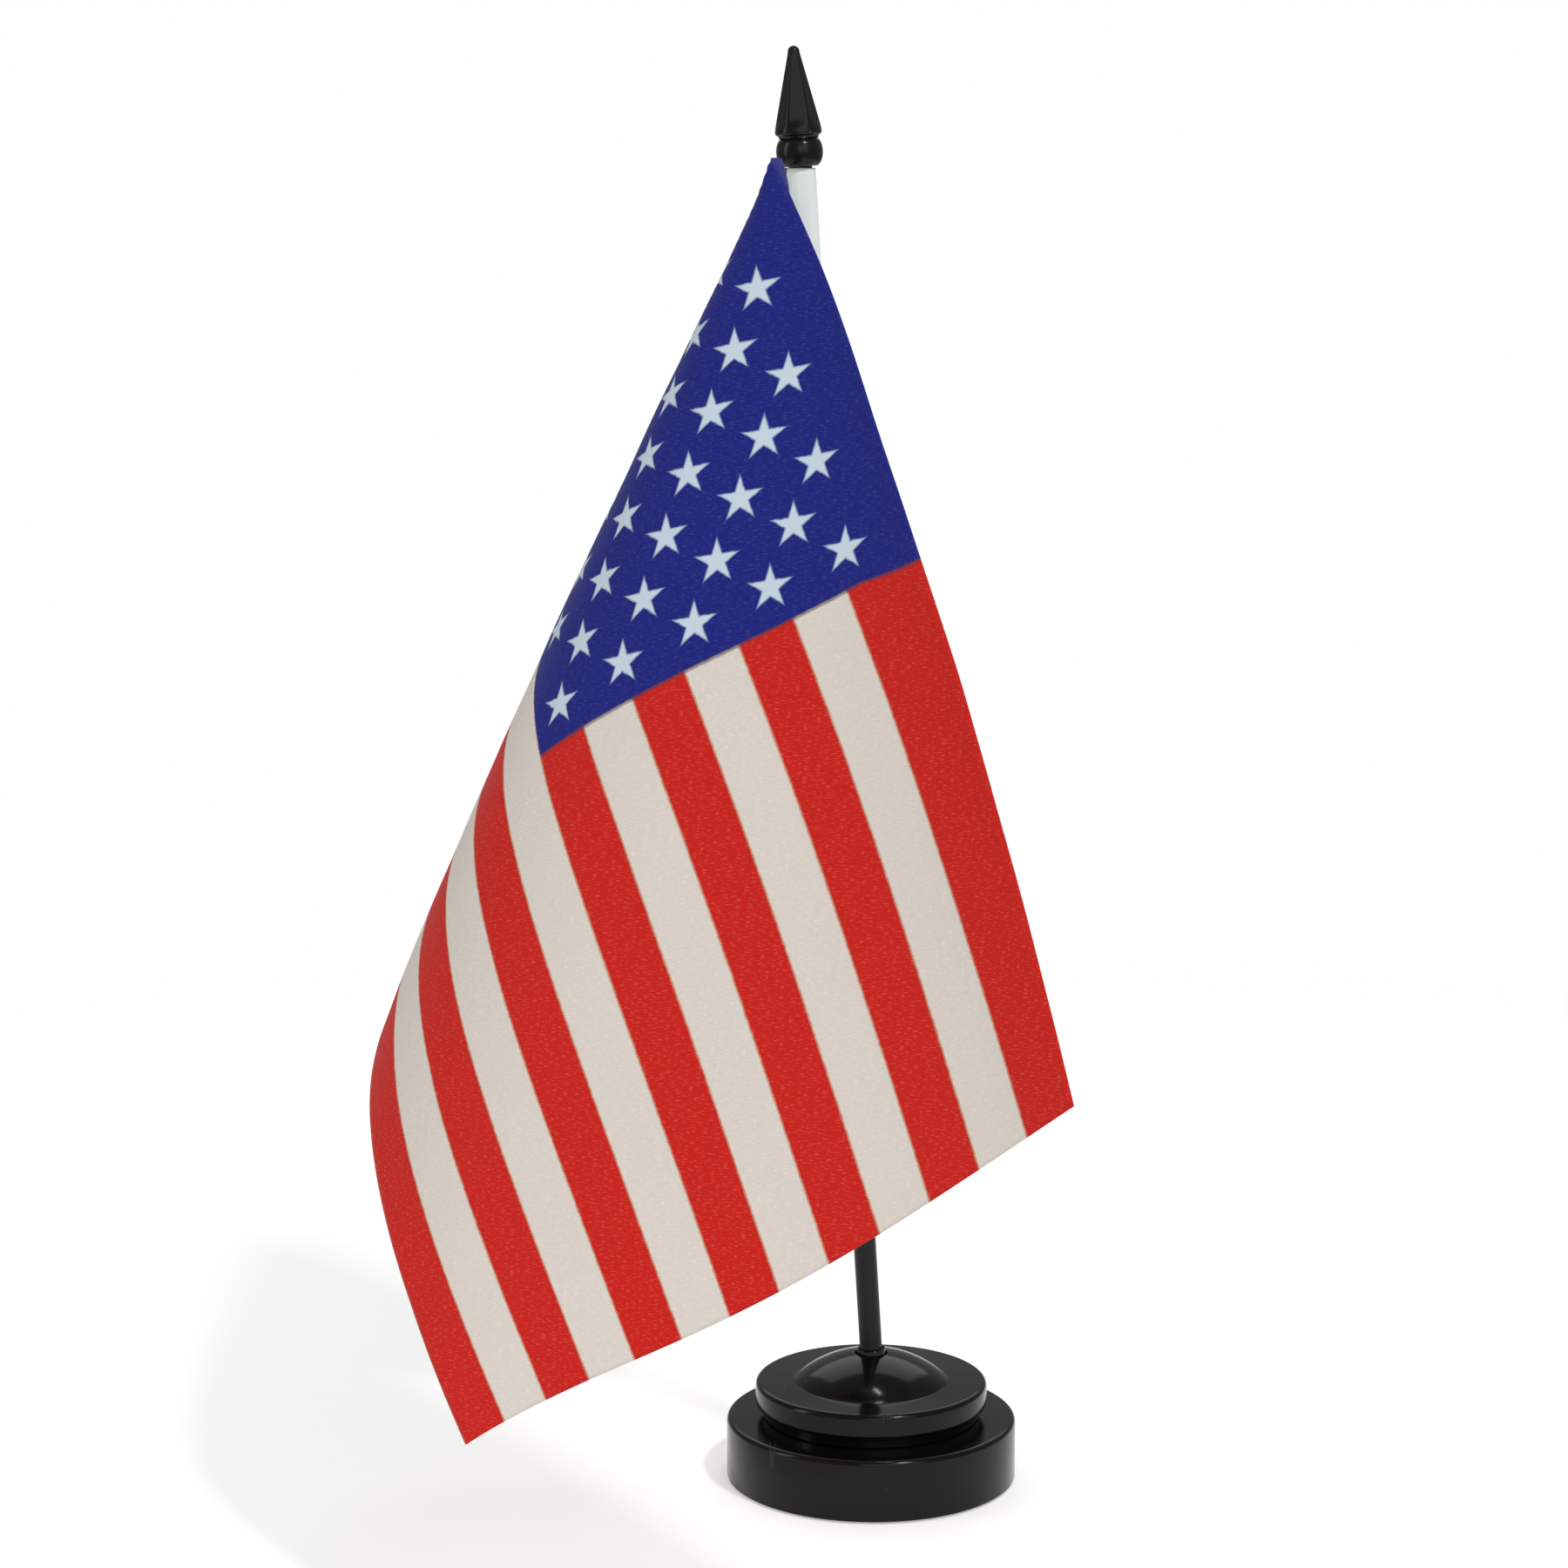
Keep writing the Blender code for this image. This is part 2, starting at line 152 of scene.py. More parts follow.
HOIST_GATHER_DEPTH = 60.0 * MM
SHOULDER = 2.0 * MM
RIPPLE = 0.35 * MM


# ---------------------------------------------------------------- node helpers
def new_finish(name, roughness=0.5):
    """An empty finish: its material, its node tree and its shader."""
    made = bpy.data.materials.new(name)
    made.use_nodes = True
    shader = made.node_tree.nodes["Principled BSDF"]
    shader.inputs["Roughness"].default_value = roughness
    return made, made.node_tree, shader


def feed(tree, socket, value):
    if isinstance(value, bpy.types.NodeSocket):
        tree.links.new(value, socket)
    else:
        socket.default_value = value


def maths(tree, operation, first, second=None, third=None):
    node = tree.nodes.new("ShaderNodeMath")
    node.operation = operation
    for socket, value in zip(node.inputs, (first, second, third)):
        if value is not None:
            feed(tree, socket, value)
    return node.outputs[0]


def opposite(tree, value):
    return maths(tree, "SUBTRACT", 1.0, value)


def soft_step(tree, value, edge, width):
    """0 below the edge and 1 above it, with a ramp of that width across it."""
    node = tree.nodes.new("ShaderNodeMapRange")
    node.interpolation_type = "SMOOTHSTEP"
    feed(tree, node.inputs["Value"], value)
    node.inputs["From Min"].default_value = edge - width / 2
    node.inputs["From Max"].default_value = edge + width / 2
    return node.outputs["Result"]


def spread(tree, value, low, high):
    """A value from 0 to 1 spread between low and high."""
    node = tree.nodes.new("ShaderNodeMapRange")
    feed(tree, node.inputs["Value"], value)
    node.inputs["To Min"].default_value = low
    node.inputs["To Max"].default_value = high
    return node.outputs["Result"]


def blend_colours(tree, share, first, second, how="MIX"):
    node = tree.nodes.new("ShaderNodeMix")
    node.data_type = "RGBA"
    node.blend_type = how
    feed(tree, node.inputs["Factor"], share)
    for socket, colour in ((node.inputs["A"], first), (node.inputs["B"], second)):
        feed(tree, socket, (*colour, 1.0) if isinstance(colour, tuple) else colour)
    return node.outputs["Result"]


def mottling(tree, place, scale, stretch=(1, 1, 1), detail=3.0, rough=0.5):
    """Noise from 0 to 1 over a place, at a scale per metre."""
    mapping = tree.nodes.new("ShaderNodeMapping")
    tree.links.new(place, mapping.inputs["Vector"])
    mapping.inputs["Scale"].default_value = stretch
    node = tree.nodes.new("ShaderNodeTexNoise")
    tree.links.new(mapping.outputs["Vector"], node.inputs["Vector"])
    node.inputs["Scale"].default_value = scale
    node.inputs["Detail"].default_value = detail
    node.inputs["Roughness"].default_value = rough
    return node.outputs["Fac"]


def object_place(tree):
    return tree.nodes.new("ShaderNodeTexCoord").outputs["Object"]


def cloth_place(tree):
    """The flat cloth's own place: along and down, in metres."""
    node = tree.nodes.new("ShaderNodeUVMap")
    node.uv_map = "flat_cloth"
    return node.outputs["UV"]


def raise_surface(tree, shader, height, distance, strength=1.0):
    bump = tree.nodes.new("ShaderNodeBump")
    bump.inputs["Strength"].default_value = strength
    bump.inputs["Distance"].default_value = distance
    tree.links.new(height, bump.inputs["Height"])
    tree.links.new(bump.outputs["Normal"], shader.inputs["Normal"])


# ---------------------------------------------------------------- finishes
def gloss_plastic(name, body=0.0035, smooth=0.09, dull=0.2):
    """Polished black moulding with faint handling marks, hair scratches and a little dust."""
    made, tree, shader = new_finish(name)
    place = object_place(tree)
    smears = mottling(tree, place, 55.0, detail=4.0, rough=0.6)
    flow = mottling(tree, place, 210.0, detail=2.0)
    scratch = mottling(tree, place, 170.0, stretch=(1.0, 0.06, 0.25), detail=1.0)
    scratch_line = maths(tree, "ABSOLUTE", maths(tree, "SUBTRACT", scratch, 0.5))
    where = soft_step(tree, mottling(tree, place, 75.0, detail=1.0), 0.66, 0.05)
    hair = maths(tree, "MULTIPLY", opposite(tree, soft_step(tree, scratch_line, 0.006, 0.008)), where)
    specks = tree.nodes.new("ShaderNodeTexVoronoi")
    specks.inputs["Scale"].default_value = 420.0
    tree.links.new(place, specks.inputs["Vector"])
    near = opposite(tree, soft_step(tree, specks.outputs["Distance"], 0.075, 0.05))
    patches = soft_step(tree, mottling(tree, place, 130.0, detail=1.0), 0.64, 0.04)
    dust = maths(tree, "MULTIPLY", near, patches)
    deep = (body * 0.7, body * 0.72, body * 0.74)
    hazy = (body * 1.5, body * 1.5, body * 1.45)
    black = blend_colours(tree, smears, deep, hazy)
    marked = blend_colours(tree, maths(tree, "MULTIPLY", hair, 0.1), black, (0.16, 0.15, 0.14))
    dusty = blend_colours(tree, maths(tree, "MULTIPLY", dust, 0.45), marked, (0.22, 0.21, 0.19))
    tree.links.new(dusty, shader.inputs["Base Color"])
    shine = spread(tree, smears, smooth, dull)
    shine = maths(tree, "ADD", shine, maths(tree, "MULTIPLY", maths(tree, "MAXIMUM", hair, dust), 0.35))
    tree.links.new(shine, shader.inputs["Roughness"])
    shader.inputs["Specular IOR Level"].default_value = 0.2
    height = maths(tree, "ADD", maths(tree, "MULTIPLY", flow, 0.6), maths(tree, "MULTIPLY", hair, -0.3))
    raise_surface(tree, shader, height, 0.00004, 0.35)
    return made


def satin_plastic(name):
    """Drawn black rod: satin, with fine lines along it."""
    made, tree, shader = new_finish(name)
    place = object_place(tree)
    lines = mottling(tree, place, 900.0, stretch=(1.0, 1.0, 0.02), detail=2.0)
    cloud = mottling(tree, place, 60.0, stretch=(1.0, 1.0, 0.3))
    black = blend_colours(tree, cloud, (0.004, 0.004, 0.0042), (0.011, 0.0115, 0.011))
    tree.links.new(black, shader.inputs["Base Color"])
    shine = maths(tree, "ADD", spread(tree, cloud, 0.3, 0.42), maths(tree, "MULTIPLY", lines, 0.08))
    tree.links.new(shine, shader.inputs["Roughness"])
    shader.inputs["Specular IOR Level"].default_value = 0.25
    raise_surface(tree, shader, lines, 0.00005, 0.4)
    return made


def felt(name):
    made, tree, shader = new_finish(name, 0.95)
    place = object_place(tree)
    fibres = mottling(tree, place, 1900.0, stretch=(1.0, 0.35, 1.0), detail=4.0, rough=0.7)
    pile = mottling(tree, place, 260.0)
    colour = blend_colours(tree, fibres, (0.008, 0.008, 0.009), (0.05, 0.05, 0.052))
    tree.links.new(blend_colours(tree, pile, colour, (0.018, 0.018, 0.019)), shader.inputs["Base Color"])
    shader.inputs["Sheen Weight"].default_value = 0.25
    raise_surface(tree, shader, fibres, 0.0002, 0.8)
    return made


def turned_steel(name):
    """Plain turned steel, with tool rings and a little oil."""
    made, tree, shader = new_finish(name)
    place = object_place(tree)
    rings = tree.nodes.new("ShaderNodeTexWave")
    rings.wave_type = "RINGS"
    rings.rings_direction = "Z"
    rings.inputs["Scale"].default_value = 600.0
    rings.inputs["Distortion"].default_value = 1.5
    tree.links.new(place, rings.inputs["Vector"])
    oil = mottling(tree, place, 90.0)
    metal = blend_colours(tree, oil, (0.36, 0.36, 0.36), (0.55, 0.54, 0.52))
    tree.links.new(metal, shader.inputs["Base Color"])
    shader.inputs["Metallic"].default_value = 1.0
    tree.links.new(spread(tree, oil, 0.25, 0.5), shader.inputs["Roughness"])
    raise_surface(tree, shader, rings.outputs["Fac"], 0.00003, 0.4)
    return made


def weave(tree, place):
    """Yarn of a satin: a fine grid, and a mask of short glints on the slant of its twill, for painted
    highlights.

    Gives the node that separates along and down, the yarn's floats, the height and the mask of painted
    glints.
    """
    parts = tree.nodes.new("ShaderNodeSeparateXYZ")
    tree.links.new(place, parts.inputs["Vector"])
    wander = mottling(tree, place, 300.0, detail=2.0)
    along = maths(tree, "ADD", parts.outputs["X"], maths(tree, "MULTIPLY", wander, 0.0005))
    warp = maths(tree, "SINE", maths(tree, "MULTIPLY", along, math.tau / (0.42 * MM)))
    weft = maths(tree, "SINE", maths(tree, "MULTIPLY", parts.outputs["Y"], math.tau / (0.36 * MM)))
    grid = maths(tree, "MULTIPLY_ADD", maths(tree, "MULTIPLY", warp, weft), 0.25, 0.5)
    floats = mottling(tree, place, 1.0, stretch=(2400.0, 620.0, 1.0), detail=2.0, rough=0.6)
    height = maths(tree, "ADD", maths(tree, "MULTIPLY", grid, 0.45), maths(tree, "MULTIPLY", floats, 0.75))
    slanted = tree.nodes.new("ShaderNodeMapping")
    slanted.vector_type = "TEXTURE"
    slanted.inputs["Rotation"].default_value = (0, 0, math.radians(28))
    tree.links.new(place, slanted.inputs["Vector"])
    thread_noise = mottling(tree, slanted.outputs["Vector"], 1.0, stretch=(4600.0, 850.0, 1.0), detail=1.0)
    # Mask of short bright dashes on the twill's slant: it only paints highlights into the print's colour.
    painted_glints = soft_step(tree, thread_noise, 0.62, 0.14)
    return parts, floats, height, painted_glints


def star_cover(tree, along, down):
    """1 on the canton's stars, which stand in staggered rows, each with a point upwards."""
    column = maths(tree, "DIVIDE", maths(tree, "ADD", along, STAR_INSET), STAR_PITCH)
    level = maths(tree, "MULTIPLY_ADD", column, -STAR_ROW_SKEW, maths(tree, "ADD", down, STAR_ROW_LIFT))
    row = maths(tree, "DIVIDE", level, STAR_ROW)
    rising = maths(tree, "ROUND", maths(tree, "MULTIPLY", maths(tree, "ADD", column, row), 0.5))
    falling = maths(tree, "ROUND", maths(tree, "MULTIPLY", maths(tree, "SUBTRACT", column, row), 0.5))
    star_column = maths(tree, "ADD", rising, falling)
    star_row = maths(tree, "SUBTRACT", rising, falling)
    across = maths(tree, "MULTIPLY", maths(tree, "SUBTRACT", column, star_column), STAR_PITCH)
    below = maths(tree, "MULTIPLY", maths(tree, "SUBTRACT", row, star_row), STAR_ROW)
    angle = maths(tree, "ARCTAN2", across, maths(tree, "MULTIPLY", below, -1.0))
    folded = maths(tree, "PINGPONG", angle, math.pi / 5)
    squares = [maths(tree, "POWER", maths(tree, "ABSOLUTE", value), 2.0) for value in (across, below)]
    reach = maths(tree, "SQRT", maths(tree, "ADD", *squares))
    swing = maths(tree, "COSINE", maths(tree, "SUBTRACT", folded, STAR_EDGE_ANGLE))
    edge = maths(tree, "MULTIPLY", reach, swing)
    inside = opposite(tree, soft_step(tree, edge, STAR_RADIUS * math.cos(STAR_EDGE_ANGLE), 0.55 * MM))
    for value, last in ((star_column, 11.5), (star_row, 9.5)):
        inside = maths(tree, "MULTIPLY", inside, maths(tree, "GREATER_THAN", value, 0.5))
        inside = maths(tree, "MULTIPLY", inside, maths(tree, "LESS_THAN", value, last))
    return inside


def printed_cloth(name, fade):
    """Satin polyester printed with stripes and a canton of stars, with the weave's glints painted in as
    highlights. A fade pales it to light grey.
    """
    made, tree, shader = new_finish(name, 0.62)
    place = cloth_place(tree)
    parts, floats, height, painted_glints = weave(tree, place)
    bleed = maths(tree, "SUBTRACT", mottling(tree, place, 900.0, detail=2.0), 0.5)
    bleed = maths(tree, "MULTIPLY", bleed, 0.35 * MM)
    along = maths(tree, "ADD", parts.outputs["X"], bleed)
    down = maths(tree, "ADD", parts.outputs["Y"], bleed)

    stripe = maths(tree, "MAXIMUM", maths(tree, "DIVIDE", down, FLAG_HOIST / STRIPES), 0.5)
    wave = maths(tree, "COSINE", maths(tree, "MULTIPLY", maths(tree, "SUBTRACT", stripe, 0.5), math.pi))
    ink = tree.nodes.new("ShaderNodeValToRGB")
    tree.links.new(maths(tree, "MULTIPLY_ADD", wave, 0.5, 0.5), ink.inputs["Fac"])
    white = (0.785, 0.712, 0.655)
    red = (0.645, 0.010, 0.0055)
    ramp = ink.color_ramp
    ramp.elements[0].position, ramp.elements[0].color = 0.455, (*white, 1.0)
    ramp.elements[1].position, ramp.elements[1].color = 0.545, (*red, 1.0)
    middle = ramp.elements.new(0.505)
    middle.color = (0.60, 0.25, 0.15, 1.0)
    shade = spread(tree, floats, 0.0, 0.22)
    stripes = blend_colours(tree, shade, ink.outputs["Color"], (0.62, 0.45, 0.40), "MULTIPLY")
    # Painted highlight: the ink is lightened where the weave's glints fall.
    lit = blend_colours(tree, 1.0, ink.outputs["Color"], (0.16, 0.09, 0.06), "ADD")
    stripes = blend_colours(tree, maths(tree, "MULTIPLY", painted_glints, 0.5), stripes, lit)

    near_cut = maths(tree, "MAXIMUM", maths(tree, "SUBTRACT", CANTON_SKEW_DEPTH, down), 0.0)
    canton_along = maths(tree, "MULTIPLY_ADD", near_cut, -CANTON_SKEW, along)
    within_depth = opposite(tree, soft_step(tree, down, CANTON_DEPTH, PRINT_EDGE))
    within_length = opposite(tree, soft_step(tree, canton_along, CANTON_LENGTH, PRINT_EDGE))
    in_canton = maths(tree, "MULTIPLY", within_length, within_depth)
    blue = blend_colours(tree, floats, (0.0050, 0.0075, 0.185), (0.011, 0.017, 0.235))
    # Painted highlight: the weave's glints are painted lighter into the canton's blue.
    blue = blend_colours(tree, maths(tree, "MULTIPLY", painted_glints, 0.3), blue, (0.075, 0.10, 0.34))
    starry = blend_colours(tree, star_cover(tree, along, down), blue, (0.62, 0.71, 0.82))
    cloth = blend_colours(tree, in_canton, stripes, starry)

    off_edge = maths(tree, "ABSOLUTE", maths(tree, "SUBTRACT", canton_along, CANTON_LENGTH + 0.15 * MM))
    overprint = opposite(tree, soft_step(tree, off_edge, 0.36 * MM, PRINT_EDGE))
    overprint = maths(tree, "MULTIPLY", overprint, within_depth)
    cloth = blend_colours(tree, maths(tree, "MULTIPLY", overprint, 0.62), cloth, (0.07, 0.035, 0.07))
    if fade:
        cloth = blend_colours(tree, fade, cloth, (0.75, 0.74, 0.72))
    tree.links.new(cloth, shader.inputs["Base Color"])
    tree.links.new(spread(tree, floats, 0.76, 0.52), shader.inputs["Roughness"])
    shader.inputs["Specular IOR Level"].default_value = 0.2
    shader.inputs["Sheen Weight"].default_value = 0.05
    shader.inputs["Sheen Roughness"].default_value = 0.4
    raise_surface(tree, shader, height, 0.00012, 0.55)
    return made


def white_cloth(name):
    made, tree, shader = new_finish(name, 0.75)
    place = cloth_place(tree)
    _, floats, height, _ = weave(tree, place)
    soil = mottling(tree, place, 120.0)
    colour = blend_colours(tree, floats, (0.84, 0.88, 0.86), (0.90, 0.93, 0.91))
    tree.links.new(blend_colours(tree, maths(tree, "MULTIPLY", soil, 0.2), colour, (0.80, 0.84, 0.82)),
                   shader.inputs["Base Color"])
    tree.links.new(spread(tree, floats, 0.82, 0.62), shader.inputs["Roughness"])
    shader.inputs["Sheen Weight"].default_value = 0.15
    raise_surface(tree, shader, height, 0.00012, 0.6)
    return made


def thread_finish(name):
    made, tree, shader = new_finish(name, 0.6)
    place = object_place(tree)
    twist = mottling(tree, place, 3500.0, stretch=(1.0, 1.0, 0.4))
    white = blend_colours(tree, twist, (0.60, 0.64, 0.62), (0.86, 0.88, 0.86))
    tree.links.new(white, shader.inputs["Base Color"])
    raise_surface(tree, shader, twist, 0.00005, 0.6)
    return made


# ---------------------------------------------------------------- making pieces
def finish_piece(name, shape, finishes, crease=32):
    """Turns a bmesh into a smooth-shaded piece."""
    mesh = bpy.data.meshes.new(name)
    shape.to_mesh(mesh)
    shape.free()
    for finish in finishes:
        mesh.materials.append(finish)
    mesh.shade_smooth()
    mesh.set_sharp_from_angle(angle=math.radians(crease))
    piece = bpy.data.objects.new(name, mesh)
    bpy.context.scene.collection.objects.link(piece)
    return piece


def spun(outline, sides=128):
    """Spins an outline of (radius, height) pairs about +Z."""
    shape = bmesh.new()
    ring = [shape.verts.new((radius, 0, height)) for radius, height in outline]
    edges = [shape.edges.new(pair) for pair in zip(ring, ring[1:])]
    if min(radius for radius, _ in outline) > 1e-7:
        edges.append(shape.edges.new((ring[-1], ring[0])))
    bmesh.ops.spin(shape, geom=ring + edges, cent=(0, 0, 0), axis=(0, 0, 1), angle=math.tau,
                   steps=sides, use_merge=True, use_duplicate=False)
    bmesh.ops.remove_doubles(shape, verts=shape.verts, dist=1e-7)
    bmesh.ops.recalc_face_normals(shape, faces=shape.faces)
    return shape


def rounded(centre_radius, centre_height, size, start, steps=8, turn=-90.0):
    """Points of a round corner in (radius, height), from a start angle in degrees."""
    points = []
    for step in range(steps + 1):
        angle = math.radians(start + turn * step / steps)
        points.append((centre_radius + size * math.cos(angle), centre_height + size * math.sin(angle)))
    return points


def dome_height(radius, skin=0.0):
    return DOME_TOP_Z - DOME_SPHERE + math.sqrt((DOME_SPHERE - skin) ** 2 - radius**2)


def steps_between(first, last, count):
    return [first + (last - first) * step / (count - 1) for step in range(count)]


def lower_tier(finish):
    low = FOOT_LOW.z
    inner = FOOT_RADIUS - FOOT_WALL
    outline = [
        (FOOT_HOLE_RADIUS + 0.2 * MM, FOOT_TOP_Z),
        *rounded(FOOT_RADIUS - EDGE_ROUND, FOOT_TOP_Z - EDGE_ROUND, EDGE_ROUND, 90),
        *rounded(FOOT_RADIUS - 0.3 * MM, low + 0.3 * MM, 0.3 * MM, 0, 4),
        (inner, low),
        (inner, FOOT_TOP_Z - FOOT_WALL),
        (FOOT_HOLE_RADIUS, FOOT_TOP_Z - FOOT_WALL),
        (FOOT_HOLE_RADIUS, FOOT_TOP_Z - 0.2 * MM),
    ]
    return finish_piece("lower_tier", spun(outline), [finish])


def upper_tier(finish):
    bore = SPIGOT_RADIUS - SPIGOT_WALL
    hole = COLLAR_RADIUS + 0.39 * MM
    under = 0.8 * MM
    outline = [
        *[(radius, dome_height(radius)) for radius in steps_between(hole, DOME_RADIUS - 0.25 * MM, 24)],
        *rounded(DOME_RADIUS + 0.12 * MM, DISC_TOP_Z + 0.12 * MM, 0.12 * MM, 230, 3, 40),
        *rounded(CAP_RADIUS - EDGE_ROUND, DISC_TOP_Z - EDGE_ROUND, EDGE_ROUND, 90),
        *rounded(CAP_RADIUS - under, DISC_Z + under, under, 0),
        *rounded(CAP_NECK_RADIUS + 0.25 * MM, DISC_Z - 0.25 * MM, 0.25 * MM, 90, 4, 90),
        (CAP_NECK_RADIUS, CAP_Z),
        (SPIGOT_RADIUS, CAP_Z),
        (SPIGOT_RADIUS, CAP_Z - SPIGOT_DEPTH),
        (bore, CAP_Z - SPIGOT_DEPTH),
        *[(radius, dome_height(radius, DOME_SKIN)) for radius in steps_between(bore, hole, 8)],
    ]
    return finish_piece("upper_tier", spun(outline), [finish])


def stand_on_pole(shape, along=0.0):
    bmesh.ops.transform(shape, matrix=LEAN @ Matrix.Translation((0, 0, along)), verts=shape.verts)
    return shape


def socket(finish):
    """The tube that holds the pole. Its collar is a small rounded bead on the dome."""
    lip = (COLLAR_RADIUS - SOCKET_BORE_RADIUS) / 2
    outline = [
        (0, -SOCKET_DEPTH),
        (SOCKET_BORE_RADIUS, -SOCKET_DEPTH),
        *rounded(SOCKET_BORE_RADIUS + lip, COLLAR_HEIGHT - lip, lip, 180, 10, -180),
        (COLLAR_RADIUS, TUBE_TOP),
        (TUBE_RADIUS, TUBE_TOP),
        (TUBE_RADIUS, -SOCKET_DEPTH - SOCKET_FLOOR),
        (0, -SOCKET_DEPTH - SOCKET_FLOOR),
    ]
    return finish_piece("pole_collar", stand_on_pole(spun(outline, 64)), [finish])


def rod(finish):
    top = POLE_FREE_LENGTH + FINIAL_BORE_DEPTH - SEAT_GAP
    bottom = -SOCKET_DEPTH + SEAT_GAP
    edge = 0.3 * MM
    outline = [
        (0, top),
        *rounded(POLE_RADIUS - edge, top - edge, edge, 90, 3),
        *[(POLE_RADIUS, height) for height in steps_between(top - 8 * MM, bottom + 8 * MM, 24)],
        *rounded(POLE_RADIUS - edge, bottom + edge, edge, 0, 3),
        (0, bottom),
    ]
    return finish_piece("rod", stand_on_pole(spun(outline, 48)), [finish])


def spear(finish):
    """Bead, groove and six-sided spear in one moulding."""
    middle = BEAD_HEIGHT / 2
    bead = []
    for step in range(15):
        angle = math.pi * (0.12 + 0.74 * step / 14)
        reach = BEAD_RADIUS - BEAD_BULGE + BEAD_BULGE * math.sin(angle)
        bead.append((reach, middle - middle * math.cos(angle)))
    spear_z = BEAD_HEIGHT + 0.1 * MM
    tip_z = spear_z + SPEAR_HEIGHT
    shoulder_z = spear_z + 1.5 * MM
    tip = rounded(0, tip_z - SPEAR_TIP_RADIUS, SPEAR_TIP_RADIUS, 6, 8, 84)
    tip[-1] = (0, tip_z)
    tip_reach, tip_start = tip[0]
    flank = [
        (
            SPEAR_RADIUS - 0.05 * MM + (tip_reach - SPEAR_RADIUS) * share,
            shoulder_z + (tip_start - shoulder_z) * share,
        )
        for share in steps_between(0.02, 0.96, 26)
    ]
    outline = [
        (0, FINIAL_BORE_DEPTH),
        (FINIAL_BORE_RADIUS, FINIAL_BORE_DEPTH),
        (FINIAL_BORE_RADIUS, 0.15 * MM),
        (FINIAL_BORE_RADIUS + 0.15 * MM, 0),
        (bead[0][0] - 0.25 * MM, 0),
        *bead,
        (NECK_RADIUS + 0.06 * MM, BEAD_HEIGHT - 0.12 * MM),
        (NECK_RADIUS, BEAD_HEIGHT),
        (NECK_RADIUS + 0.1 * MM, spear_z + 0.1 * MM),
        *rounded(SPEAR_RADIUS - 0.65 * MM, spear_z + 0.9 * MM, 0.65 * MM, -70, 8, 75),
        *flank,
        *tip,
    ]
    shape = spun(outline, 120)
    sector = math.tau / SPEAR_FACETS
    for vert in shape.verts:
        reach = vert.co.xy.length
        if vert.co.z < shoulder_z or reach < 0.2 * MM:
            continue
        angle = math.atan2(vert.co.y, vert.co.x) + math.pi / 2
        off_middle = (angle + sector / 2) % sector - sector / 2
        rise = min((vert.co.z - shoulder_z) / (1.6 * MM), 1.0)
        fade = min(max((tip_z - 0.4 * MM - vert.co.z) / (1.6 * MM), 0.0), 1.0)
        share = SPEAR_FLAT_SHARE / math.cos(off_middle)
        press = min(share, 1.0) - 1.0
        vert.co.xy *= 1.0 + press * rise * fade
    return finish_piece("spear_finial", stand_on_pole(shape, POLE_FREE_LENGTH), [finish], 40)


# ---------------------------------------------------------------- the drape
def pole_point(along):
    return LEAN @ Vector((0, 0, along))


def drape_directions():
    """Unit directions from the drape's point, by angle from the flag's top edge."""
    side, front = DRAPE_START_SIDE, DRAPE_START_FRONT
    ray = Vector((math.sin(side) * math.cos(front), -math.sin(front), -math.cos(side) * math.cos(front)))
    left = Vector((-math.cos(side), 0, -math.sin(side)))
    along = left * math.cos(DRAPE_START_TURN) + ray.cross(left) * math.sin(DRAPE_START_TURN)
    along = (along - ray * along.dot(ray)).normalized()
    step = math.pi / DRAPE_STEPS
    rays = [ray.copy()]
    for index in range(DRAPE_STEPS):
        past_fold = ((index + 0.5) * step - DRAPE_FOLD_AT) / DRAPE_FOLD_WIDTH
        curl = DRAPE_CURL + DRAPE_FOLD_CURL * math.exp(-(past_fold**2))
        spin = ray.cross(along) + curl * ray
        turn = Matrix.Rotation(step * spin.length, 3, spin.normalized())
        ray, along = turn @ ray, turn @ along
        rays.append(ray.copy())
    return rays


RAYS = drape_directions()


def sag(along, down):
    out = along / FLAG_FLY
    low = min(max(down / FLAG_HOIST, 0.0), 1.0)
    belly = math.sin(math.pi * out)
    side = TOP_EDGE_BOW * belly * (1 - low)
    side += LOWER_CORNER_SWING * out**2 * low**2
    lift = FLY_EDGE_WAVE * out**3 * math.cos(math.tau * low)
    lift += PANEL_TWIST * 4 * out * (1 - out) * (low - 0.4)
    return Vector((side, 0, lift))


def drape_point(along, down):
    across, below = along - DRAPE_POINT_ALONG, down + DRAPE_POINT_ABOVE
    angle = math.atan2(below, across) * DRAPE_STEPS / math.pi
    index = min(int(angle), DRAPE_STEPS - 1)
    ray = RAYS[index].lerp(RAYS[index + 1], angle - index)
    return DRAPE_POINT + ray * math.hypot(across, below) + sag(along, down)


def cloth_point(along, down):
    """Where the hung flag is, from a point of the flat one. The hoist is drawn in to the sleeve."""
    gather = HOIST_GATHER * max(0.0, 1 - (down + TOP_MARGIN) / HOIST_GATHER_DEPTH) ** 2
    hoist = pole_point(SLEEVE_TOP - FLAG_DROP - TOP_MARGIN - down - gather) + HOIST_SIDE * HOIST_OFFSET
    width = HOIST_PULL_WIDTH + HOIST_PULL_GROWTH * (down + TOP_MARGIN)
    pull = max(0.0, 1.0 - along / width)
    pull = pull * pull * (3 - 2 * pull)
    return drape_point(along, down) + pull * (hoist - drape_point(0.0, down))


def cloth_normal(along, down):
    """Towards the printed side."""
    step = 1.0 * MM
    outwards = cloth_point(along + step, down) - cloth_point(max(along - step, 0.0), down)
    downwards = cloth_point(along, down + step) - cloth_point(along, down - step)
    return downwards.cross(outwards).normalized()


